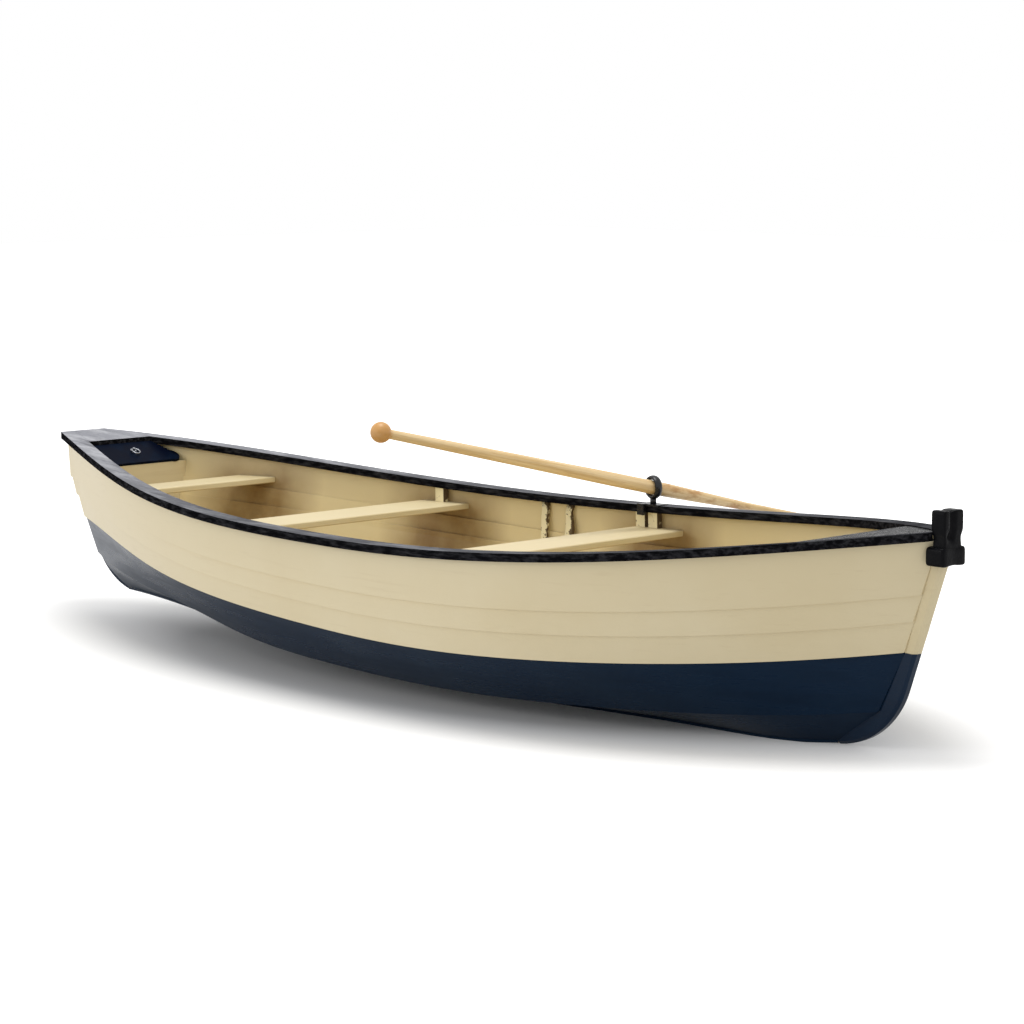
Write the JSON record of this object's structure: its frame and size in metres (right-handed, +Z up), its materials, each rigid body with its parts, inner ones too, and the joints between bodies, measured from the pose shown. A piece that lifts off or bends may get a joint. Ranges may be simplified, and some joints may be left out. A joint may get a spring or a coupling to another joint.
{
  "type": "rowing punt",
  "caption": "Open clinker-planked wooden rowing boat with a narrow stern, board seats, a mooring post and an oar in its rowlock.",
  "frame": {"origin": "underside of the flat bottom board, half way along the hull on the centre plane", "axes": "+X towards the bow, +Y to port, +Z up"},
  "size_m": [4.0896, 2.5325, 0.855],
  "materials": {
    "cream_paint": "satin cream paint on wood, scuffed",
    "bottom_paint": "gloss navy paint outside, cream inside",
    "navy_paint": "gloss navy paint",
    "stem_paint": "two-tone paint, navy below the paint line",
    "black_varnish": "black gloss paint, worn grey on top",
    "collar_black": "gloss black",
    "chrome": "polished",
    "galvanised": "dull galvanised",
    "steel": "dull",
    "oar_wood": "varnished spruce"
  },
  "bodies": {
    "hull": {"garboard_port": "bottom_paint", "garboard_starboard": "bottom_paint", "bilge_strake_port": "bottom_paint", "bilge_strake_starboard": "bottom_paint", "lower_side_strake_port": "cream_paint", "lower_side_strake_starboard": "cream_paint", "upper_side_strake_port": "cream_paint", "upper_side_strake_starboard": "cream_paint", "sheer_strake_port": "cream_paint", "sheer_strake_starboard": "cream_paint", "gunwale_port": "black_varnish", "gunwale_starboard": "black_varnish", "knee_middle_port": "cream_paint", "knee_middle_starboard": "cream_paint", "knee_fore_a_port": "cream_paint", "knee_fore_a_starboard": "cream_paint", "knee_fore_b_port": "cream_paint", "knee_fore_b_starboard": "cream_paint", "rib_aft_port": "cream_paint", "rib_aft_starboard": "cream_paint", "rib_fore_port": "cream_paint", "rib_fore_starboard": "cream_paint", "bottom_board": "bottom_paint", "stern_deck": "black_varnish", "breasthook": "black_varnish", "stem": "stem_paint", "sternpost": "bottom_paint", "transom": "cream_paint", "thwart_aft": "cream_paint", "thwart_middle": "cream_paint", "thwart_fore": "cream_paint", "stern_bulkhead": "cream_paint", "back_panel": "navy_paint", "pull_ring": "chrome", "rowlock_socket": "galvanised", "stemhead_collar": "collar_black", "mooring_post": "collar_black", "post_bolt": "steel"},
    "rowlock_arm": {"rowlock": "galvanised"},
    "oar_arm": {"oar": "oar_wood"}
  },
  "joints": [
    {"name": "rowlock_swivel", "type": "hinge", "parent": "hull", "child": "rowlock_arm", "pos_m": [0.291, 0.64401, 0.5224], "axis": [0, 0, 1], "range_deg": [-28, 50]},
    {"name": "oar_tilt", "type": "hinge", "parent": "rowlock_arm", "child": "oar_arm", "pos_m": [0.291, 0.64401, 0.58245], "axis": [-0.9724, 0.2334, 0], "range_deg": [-17.5, 2]}
  ]
}
